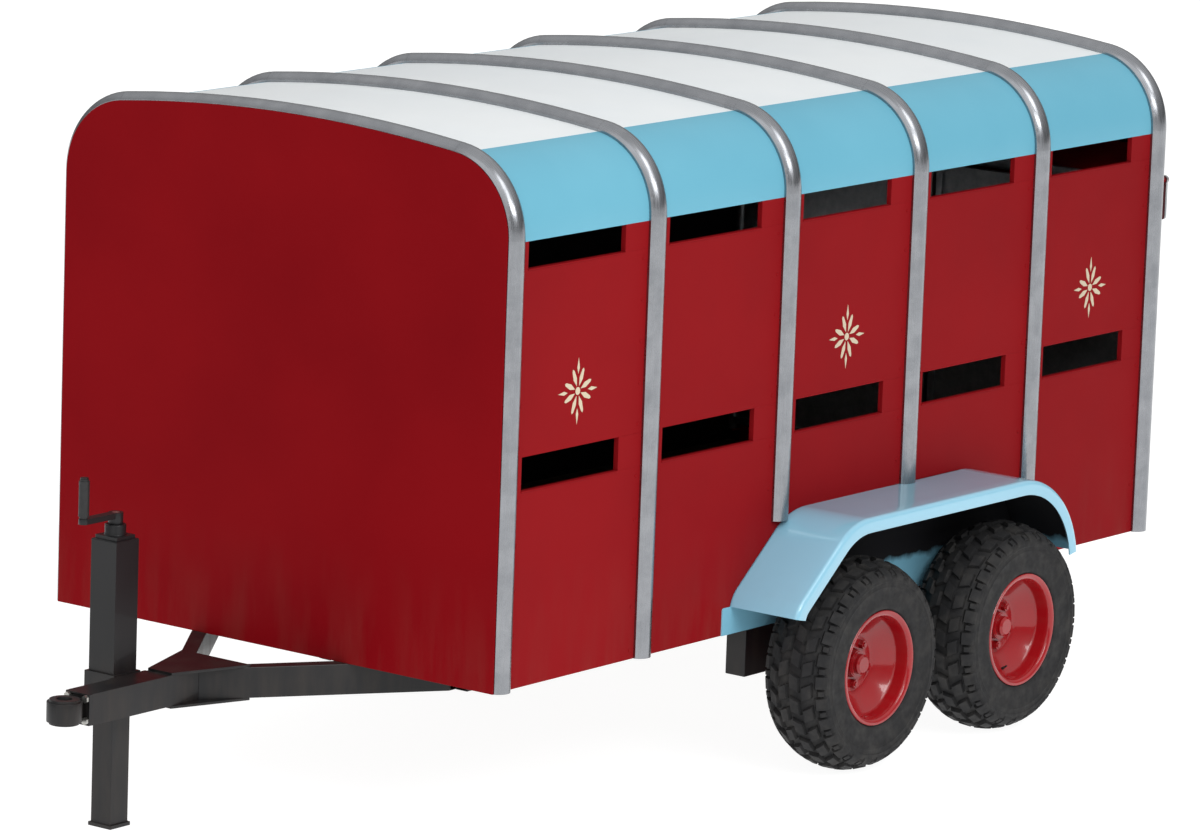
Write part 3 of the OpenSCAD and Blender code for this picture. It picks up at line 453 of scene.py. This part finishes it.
def on_section(run, depth):
    """(radius, z) at a distance along the tyre's section from its middle, at a depth under its skin."""
    sign, far = (1 if run >= 0 else -1), abs(run)
    if far < CROWN_RUN:
        a = far / CROWN_R
        r, z = CROWN_C + CROWN_R * math.cos(a), CROWN_R * math.sin(a)
    elif far < CROWN_RUN + CORNER_RUN:
        a = CORNER_TURN + (far - CROWN_RUN) / CORNER_R
        r, z = CORNER_C + CORNER_R * math.cos(a), WALL - CORNER_R + CORNER_R * math.sin(a)
    else:
        a = math.pi / 2
        r, z = CORNER_C - (far - CROWN_RUN - CORNER_RUN), WALL
    return r - depth * math.cos(a), sign * (z - depth * math.sin(a))


def tyre_mesh():
    bm = bmesh.new()
    shoulder = [on_section(step * 6 * MM, tread_depth(step * 6 * MM)) for step in range(26)]
    side = [
        (TYRE_R - 69 * MM, WALL),
        (TYRE_R - 71 * MM, WALL - 1.8 * MM),
        (TYRE_R - 84 * MM, WALL - 2.6 * MM),
        (TYRE_R - 87 * MM, WALL - 1.4 * MM),
        (TYRE_R - 91 * MM, WALL - 2.8 * MM),
        (FLANGE_R + 40 * MM, WALL - 4.0 * MM),
        (FLANGE_R + 18 * MM, (WALL + FLANGE_Z) / 2 + 1 * MM),
        (FLANGE_R + 9 * MM, FLANGE_Z + 3.5 * MM),
        (FLANGE_R + 5 * MM, FLANGE_Z + 1.0 * MM),
        (FLANGE_R + 2 * MM, FLANGE_Z - 5.0 * MM),
        (FLANGE_R - 4 * MM, FLANGE_Z - 7.6 * MM),
        (FLANGE_R - 15 * MM, FLANGE_Z - 7.6 * MM),
    ]
    half = shoulder + side
    profile = [(r, -z) for r, z in reversed(half)] + half[1:]
    lathe(bm, profile, 144)

    def lug(low, high, turn, length, skew, cells):
        """One tread block, between two places along the section, tapered towards its top."""
        rows = []
        middle = (low + high) / 2
        for i in range(cells + 1):
            share = i / cells
            foot = low - 3.5 * MM + share * (high - low + 7 * MM)
            top = low + 2.7 * MM + share * (high - low - 5.4 * MM)
            row = []
            for run, sunk, half_length in ((foot, 1, length / 2 + 3 * MM), (top, 0, length / 2)):
                depth = tread_depth(run) + 1.5 * MM if sunk else 0.0
                r, z = on_section(run, depth)
                centre = turn + skew * (run - middle)
                for sign in ((-1, 1) if sunk else (1, -1)):
                    t = centre + sign * half_length / r
                    row.append((r * math.cos(t), r * math.sin(t), z))
            rows.append(row)
        loft(bm, rows)

    pitch = 2 * math.pi / PITCHES
    for k in range(PITCHES):
        for side_sign, offset in ((1, 0.0), (-1, 0.5)):
            turn = (k + offset) * pitch
            lean = side_sign * pitch * 5.3
            for low, high, at, length, skew, cells in (
                    (6, 41, 0.10, 46, lean, 3), (51, 88, 0.48, 44, -lean, 3),
                    (98, 147, 0.02, 40, 0.0, 6), (108, 132, 0.52, 16, 0.0, 4)):
                a, b = sorted((side_sign * low * MM, side_sign * high * MM))
                lug(a, b, turn + pitch * at, length * MM, skew, cells)
    return bm


def rim_mesh():
    bm = bmesh.new()
    barrel = FLANGE_R - 23 * MM
    back = barrel + 6.5 * MM
    dish_z = 58 * MM
    disc_z = 8 * MM
    profile = [
        # outside, from the flange's edge to the pilot hole
        (FLANGE_R - 0.2 * MM, FLANGE_Z - 5.0 * MM), (FLANGE_R - 0.2 * MM, FLANGE_Z - 2.4 * MM),
        (FLANGE_R - 1.6 * MM, FLANGE_Z - 0.6 * MM), (FLANGE_R - 4.2 * MM, FLANGE_Z),
        (FLANGE_R - 11 * MM, FLANGE_Z - 0.8 * MM), (FLANGE_R - 17 * MM, FLANGE_Z - 3.4 * MM),
        (FLANGE_R - 20.5 * MM, FLANGE_Z - 8.0 * MM), (barrel + 1.0 * MM, FLANGE_Z - 14 * MM),
        (barrel, FLANGE_Z - 24 * MM), (barrel, dish_z + 8 * MM), (barrel - 2 * MM, dish_z + 2 * MM),
        (barrel - 6 * MM, dish_z - 3 * MM), (122 * MM, disc_z + 15.5 * MM), (112 * MM, disc_z + 8.5 * MM),
        (104 * MM, disc_z + 3.5 * MM), (97 * MM, disc_z + 1.0 * MM), (91 * MM, disc_z + 0.1 * MM),
        (52 * MM, disc_z + 0.1 * MM), (48 * MM, disc_z - 0.8 * MM), (46.6 * MM, disc_z - 2.6 * MM),
        # back of the disc, and the barrel down to the inner flange
        (46.6 * MM, 0.2 * MM), (92 * MM, 0.2 * MM), (103 * MM, 1.6 * MM), (114 * MM, 6.5 * MM),
        (160 * MM, 40 * MM), (barrel - 0.3 * MM, 46 * MM), (barrel, 36 * MM), (barrel, -FLANGE_Z + 24 * MM),
        (barrel + 1.0 * MM, -FLANGE_Z + 14 * MM), (FLANGE_R - 20.5 * MM, -FLANGE_Z + 8.0 * MM),
        (FLANGE_R - 17 * MM, -FLANGE_Z + 3.4 * MM), (FLANGE_R - 11 * MM, -FLANGE_Z + 0.8 * MM),
        (FLANGE_R - 4.2 * MM, -FLANGE_Z), (FLANGE_R - 1.6 * MM, -FLANGE_Z + 0.6 * MM),
        (FLANGE_R - 0.2 * MM, -FLANGE_Z + 2.4 * MM), (FLANGE_R - 0.2 * MM, -FLANGE_Z + 5.0 * MM),
        # tyre side of the barrel
        (FLANGE_R - 3 * MM, -FLANGE_Z + 7.0 * MM), (back, -FLANGE_Z + 7.4 * MM),
        (back, FLANGE_Z - 7.4 * MM), (FLANGE_R - 3 * MM, FLANGE_Z - 7.0 * MM),
    ]
    lathe(bm, profile, 144)
    return bm


def valve_mesh():
    bm = bmesh.new()
    lathe(bm, [
        (0.1 * MM, 26 * MM), (2.6 * MM, 26 * MM), (3.1 * MM, 25 * MM), (3.1 * MM, 15 * MM),
        (4.2 * MM, 14 * MM), (4.6 * MM, 3 * MM), (7.2 * MM, 1 * MM), (7.2 * MM, -3 * MM), (0.1 * MM, -3 * MM),
    ], 20)
    return bm


def wheel_matrix(wheel):
    low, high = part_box(f"tyre_{wheel}")
    side = 1 if wheel.endswith("left") else -1
    return Matrix.Translation((low + high) / 2) @ Matrix.Rotation(-side * math.pi / 2, 4, "X")


tyre_shared = rim_shared = valve_shared = None
for number, wheel in enumerate(WHEELS):
    body = f"wheel_{wheel}"
    place = wheel_matrix(wheel) @ Matrix.Rotation(math.radians(90 * number), 4, "Z")
    made = piece(f"treaded_tyre_{wheel}", None if tyre_shared else tyre_mesh(), TYRE, body,
                 matrix=place, mesh=tyre_shared)
    tyre_shared = made.data
    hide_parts(f"tyre_{wheel}")
    made = piece(f"pressed_rim_{wheel}", None if rim_shared else rim_mesh(), WHEEL_RED, body,
                 matrix=place, mesh=rim_shared)
    rim_shared = made.data
    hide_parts(f"rim_{wheel}")
    stem = place @ Matrix.Translation((150 * MM, 0, 40 * MM)) @ Matrix.Rotation(math.radians(-35), 4, "Y")
    made = piece(f"valve_{wheel}", None if valve_shared else valve_mesh(), GRIP, body,
                 matrix=stem, mesh=valve_shared)
    valve_shared = made.data


# ---------------------------------------------------------------- mudguards

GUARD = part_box("mudguard_left")
GUARD_TOP = GUARD[1].z
GUARD_IN, GUARD_OUT = GUARD[0].y, GUARD[1].y
AXLE_MID = (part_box("hub_front_left")[0].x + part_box("hub_front_left")[1].x
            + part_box("hub_rear_left")[0].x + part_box("hub_rear_left")[1].x) / 4
FRONT_R, REAR_R, TIP_R = 260 * MM, 350 * MM, 100 * MM
SLOPE, TIP_SLOPE, REAR_END = math.radians(40), math.radians(78), math.radians(80)
GUARD_END_Z = BODY_Z + 92 * MM
FRONT_BEND_REACH, REAR_BEND_REACH = 478 * MM, 412.5 * MM
FRONT_C = Vector((AXLE_MID + FRONT_BEND_REACH, GUARD_TOP - FRONT_R))
REAR_C = Vector((AXLE_MID - REAR_BEND_REACH, GUARD_TOP - REAR_R))
TIP_Z = GUARD_END_Z - TIP_R * math.cos(TIP_SLOPE)
TIP_DROP = FRONT_C.y + (FRONT_R - TIP_R) * math.cos(SLOPE) - TIP_Z
TIP_C = Vector((FRONT_C.x + (FRONT_R - TIP_R) * math.sin(SLOPE) + TIP_DROP / math.tan(SLOPE), TIP_Z))
PLATE_FRONT = 45 * MM
LIP = 50 * MM
SHEET = 4 * MM
FOLD_R = 16 * MM


def guard_path():
    """(point, outward normal) along the mudguard's crown line, from its front end to its rear end."""
    path = []
    bends = (
        (TIP_C, TIP_R, TIP_SLOPE, SLOPE, 14),
        (FRONT_C, FRONT_R, SLOPE, 0.0, 24),
        (REAR_C, REAR_R, 0.0, -REAR_END, 40),
    )
    for centre, radius, start, end, steps in bends:
        for k in range(steps + 1):
            a = start + (end - start) * k / steps
            n = Vector((math.sin(a), math.cos(a)))
            path.append((centre + n * radius, n))
    return path


def guard_section():
    """(distance along Y, distance under the crown) of the sheet's outside, then back along its inside."""
    turns = [math.pi / 2 * k / 8 for k in range(9)]
    inner_r = FOLD_R - SHEET
    inner_y = GUARD_OUT - SHEET
    fold = [(GUARD_OUT - FOLD_R * (1 - math.sin(a)), FOLD_R * (1 - math.cos(a))) for a in turns]
    inner = [(inner_y - inner_r * (1 - math.sin(a)), SHEET + inner_r * (1 - math.cos(a))) for a in turns]
    hem_y = inner_y - 2.2 * MM
    hem = [(GUARD_OUT, LIP - 3 * MM), (GUARD_OUT - 1.2 * MM, LIP - 0.6 * MM), (inner_y, LIP),
           (hem_y, LIP - 1.5 * MM), (hem_y, LIP - 7 * MM), (inner_y, LIP - 8 * MM)]
    steps = [GUARD_IN + (GUARD_OUT - FOLD_R - GUARD_IN) * k / 6 for k in range(6)]
    top = [(y, 0.0) for y in steps]
    under = [(y, SHEET) for y in reversed(steps)]
    return top + fold + hem + list(reversed(inner)) + under


def guard_piece(side, word):
    """A mudguard: its pressed band and the plate that holds it to the body's side, with painted shadow
    inside.
    """
    bm = bmesh.new()
    path = guard_path()
    section = guard_section()
    loft(bm, [[(p.x - n.x * deep, side * y, p.y - n.y * deep) for y, deep in section] for p, n in path])
    front = path[0][0].x + PLATE_FRONT
    outline = [(front, BODY_Z), (front, GUARD_END_Z - 6 * MM), (front - 6 * MM, GUARD_END_Z)]
    outline += [(p.x, p.y) for p, n in path]
    outline += [(path[-1][0].x, BODY_Z)]
    loft(bm, [[(x, side * y, z) for x, z in outline] for y in (GUARD_IN + 0.1 * MM, GUARD_IN + SHEET)])
    made = piece(f"pressed_mudguard_{word}", bm, GUARD_BLUE, "trailer", smooth=50)
    # The band's underside, the plate's face and the lip's inner face get the painted shadow material.
    made.data.materials.append(GUARD_PAINTED_SHADE)
    for polygon in made.data.polygons:
        here, normal = polygon.center, polygon.normal
        out = min(path, key=lambda spot: (spot[0] - Vector((here.x, here.z))).length)[1]
        inside = normal.x * out.x + normal.z * out.y < -0.5 and abs(normal.y) < 0.5
        plate = side * normal.y > 0.9 and abs(here.y) < GUARD_IN + 2 * SHEET
        lip = side * normal.y < -0.9 and abs(here.y) > GUARD_OUT - 2 * SHEET
        polygon.material_index = 1 if inside or plate or lip else 0
    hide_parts(f"mudguard_{word}")


for side, word in ((1, "left"), (-1, "right")):
    guard_piece(side, word)


# ---------------------------------------------------------------- ornaments, rivets and slot lips

PETAL = ((0.16, 0.0), (0.40, 0.085), (0.66, 0.05), (0.72, 0.0), (0.66, -0.05), (0.40, -0.085))
POINT = ((0.52, 0.0), (0.70, 0.06), (1.0, 0.0), (0.70, -0.06))
BUTTON_TURNS = [math.radians(30 * k) for k in range(12)]
BUTTON = [(0.12 * math.cos(turn), 0.12 * math.sin(turn)) for turn in BUTTON_TURNS]


def turned_shape(outline, degrees):
    """An outline of (along, across) points, turned about the rosette's middle."""
    c, s = math.cos(math.radians(degrees)), math.sin(math.radians(degrees))
    return [(along * c - across * s, along * s + across * c) for along, across in outline]


def rosette(bm, x, z, side, height, width):
    """A plain eight-petalled star with four long points, cut from thin sheet."""
    y0, y1 = SIDE_Y, SIDE_Y + 1.2 * MM
    shapes = [turned_shape(PETAL, 45 * k + 22.5) for k in range(8)]
    shapes += [turned_shape(POINT, 90 * k) for k in range(4)]
    shapes += [BUTTON]
    for shape in shapes:
        loft(bm, [[(x + u * width / 2, side * y, z + v * height / 2) for u, v in shape] for y in (y0, y1)])


def bay_middle(bay):
    return (HOOP_X[bay] + HOOP_X[bay + 1]) / 2


ORNAMENT_Z = BODY_Z + 920 * MM
ORNAMENT_SHIFT = 16 * MM
for side, word in ((1, "left"), (-1, "right")):
    for bay in (0, 2, 4):
        bm = bmesh.new()
        rosette(bm, bay_middle(bay) + ORNAMENT_SHIFT, ORNAMENT_Z, side, 215 * MM, 200 * MM)
        piece(f"rosette_{word}_{bay + 1}", bm, CREAM, "trailer")

SLOT_HALF = 247.5 * MM
SLOT_SHIFT = 41 * MM
SLOT_FEET = (BODY_Z + 633 * MM, BODY_Z + 1340 * MM)
for side, word in ((1, "left"), (-1, "right")):
    bm = bmesh.new()
    for bay in range(5):
        x = bay_middle(bay) + SLOT_SHIFT
        for z in SLOT_FEET:
            low_y, high_y = sorted((side * (SIDE_Y - 3 * MM), side * (SIDE_Y + 2.5 * MM)))
            box(bm, (x - SLOT_HALF, low_y, z - 5 * MM), (x + SLOT_HALF, high_y, z - 0.5 * MM))
    soft_edges(piece(f"slot_lips_{word}", bm, SIDE_RED_PAINTED_LIGHTER, "trailer"), 1.2 * MM)

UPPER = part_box("side_upper_left")
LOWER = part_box("side_lower_left")
RIVET_INSET, RIVET_PITCH = 30 * MM, 140 * MM
for side, word in ((1, "left"), (-1, "right")):
    bm = bmesh.new()
    for x in HOOP_X:
        for edge in (-1, 1):
            at = x + edge * (HOOP_HALF + 22 * MM)
            if not LOWER[0].x + 10 * MM < at < LOWER[1].x - 10 * MM:
                continue
            over_guard = GUARD[0].x - 20 * MM < at < GUARD[1].x + 20 * MM
            for low, high in ((LOWER[0].z, LOWER[1].z), (UPPER[0].z, UPPER[1].z)):
                run = high - low - 2 * RIVET_INSET
                count = round(run / RIVET_PITCH)
                for k in range(count + 1):
                    z = low + RIVET_INSET + run * k / count
                    if over_guard and z < GUARD_TOP + 25 * MM:
                        continue
                    dome(bm, (at, side * SIDE_Y, z), (0, side, 0), 6 * MM, 2.6 * MM)
    piece(f"side_rivets_{word}", bm, SIDE_RED_PAINTED_LIGHTER, "trailer")


# ---------------------------------------------------------------- rear lamps

LAMP_FRONT_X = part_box("floor")[0].x - 40 * MM
LAMP_IN, LAMP_OUT = 440 * MM, 600 * MM
STOP_LENS = (LAMP_IN + 6 * MM, LAMP_IN + 92 * MM)
TURN_LENS = (LAMP_IN + 96 * MM, LAMP_OUT - 6 * MM)
for side, word in ((1, "left"), (-1, "right")):
    x0, x1 = LAMP_FRONT_X - 24 * MM, LAMP_FRONT_X
    bm = bmesh.new()
    box(bm, (x0 + 8 * MM, side * LAMP_IN, BODY_Z - 96 * MM), (x1, side * LAMP_OUT, BODY_Z - 26 * MM))
    bracket_in, bracket_out = side * (LAMP_IN + 60 * MM), side * (LAMP_IN + 100 * MM)
    box(bm, (x1 - 6 * MM, bracket_in, BODY_Z - 40 * MM), (x1 + 34 * MM, bracket_out, BODY_Z))
    soft_edges(piece(f"lamp_housing_{word}", bm, LAMP_BLACK, "trailer"), 4 * MM, 3)
    for lens_name, material, (a, b) in (("stop", LENS_RED, STOP_LENS), ("turn", LENS_AMBER, TURN_LENS)):
        bm = bmesh.new()
        box(bm, (x0, side * a, BODY_Z - 90 * MM), (x0 + 10 * MM, side * b, BODY_Z - 32 * MM))
        soft_edges(piece(f"lamp_{lens_name}_{word}", bm, material, "trailer"), 3 * MM, 3)


# ---------------------------------------------------------------- floor, light and camera

bm = bmesh.new()
bmesh.ops.create_circle(bm, cap_ends=True, segments=96, radius=70)
ground_mesh = bpy.data.meshes.new("studio_floor")
bm.to_mesh(ground_mesh)
bm.free()
ground = bpy.data.objects.new("studio_floor", ground_mesh)
bpy.context.scene.collection.objects.link(ground)
pale = Nodes("studio_floor")
pale_body = pale.mix(pale.noise(0.8, 2.0), (0.22, 0.22, 0.22), (0.24, 0.24, 0.24))
ground_mesh.materials.append(pale.set(
    Base_Color=pale_body, Roughness=0.9, Specular_IOR_Level=0.0,
    Emission_Color=(0.94, 0.94, 0.94), Emission_Strength=1.0))
ground.location.z = -0.5 * MM

world = bpy.data.worlds.new("studio")
bpy.context.scene.world = world
world.use_nodes = True
tree = world.node_tree
sky = tree.nodes["Background"]
sky.inputs["Strength"].default_value = 1.0
place = tree.nodes.new("ShaderNodeTexCoord")
split = tree.nodes.new("ShaderNodeSeparateXYZ")
ramp = tree.nodes.new("ShaderNodeValToRGB")
ramp.color_ramp.elements[0].position = 0.0
ramp.color_ramp.elements[0].color = (0.07, 0.072, 0.075, 1)
ramp.color_ramp.elements[1].position = 0.75
ramp.color_ramp.elements[1].color = (0.80, 0.80, 0.80, 1)
tree.links.new(place.outputs["Generated"], split.inputs["Vector"])
tree.links.new(split.outputs["Z"], ramp.inputs["Fac"])
tree.links.new(ramp.outputs["Color"], sky.inputs["Color"])


def sun(name, azimuth, height, strength, softness):
    lamp = bpy.data.lights.new(name, "SUN")
    lamp.energy = strength
    lamp.angle = math.radians(softness)
    made = bpy.data.objects.new(name, lamp)
    bpy.context.scene.collection.objects.link(made)
    a, e = math.radians(azimuth), math.radians(height)
    towards = Vector((math.cos(a) * math.cos(e), math.sin(a) * math.cos(e), math.sin(e)))
    made.rotation_euler = towards.to_track_quat("Z", "Y").to_euler()


sun("key", 70, 50, 0.62, 28)
sun("fill", 10, 30, 0.50, 60)


def softbox(name, place, target, size, power):
    lamp = bpy.data.lights.new(name, "AREA")
    lamp.shape = "RECTANGLE"
    lamp.size, lamp.size_y = size
    lamp.energy = power
    made = bpy.data.objects.new(name, lamp)
    bpy.context.scene.collection.objects.link(made)
    made.location = place
    made.rotation_euler = (Vector(place) - Vector(target)).to_track_quat("Z", "Y").to_euler()


softbox("side_strip", (FRONT_X + 1.5, SIDE_Y + 7.0, 5.5), (0, SIDE_Y, 1.4), (5.0, 1.6), 200)

# The camera's place and turn, measured from the front panel's foot; a long lens from far away.
YAW, PITCH, ROLL = math.radians(37.55), math.radians(10.87), math.radians(2.04)
ahead = Vector((-math.cos(PITCH) * math.cos(YAW), -math.cos(PITCH) * math.sin(YAW), -math.sin(PITCH)))
right0 = ahead.cross(Vector((0, 0, 1))).normalized()
up0 = right0.cross(ahead)
right = math.cos(ROLL) * right0 + math.sin(ROLL) * up0
up = -math.sin(ROLL) * right0 + math.cos(ROLL) * up0
lens_data = bpy.data.cameras.new("camera")
lens_data.lens = 201.9
lens_data.sensor_width = 36.0
lens_data.clip_end = 400
camera = bpy.data.objects.new("camera", lens_data)
bpy.context.scene.collection.objects.link(camera)
turned = Matrix((right, up, -ahead)).transposed().to_4x4()
camera.matrix_world = Matrix.Translation((FRONT_X + 16.103, 13.685, BODY_Z + 4.849)) @ turned
bpy.context.scene.camera = camera
bpy.context.scene.view_settings.view_transform = "Standard"
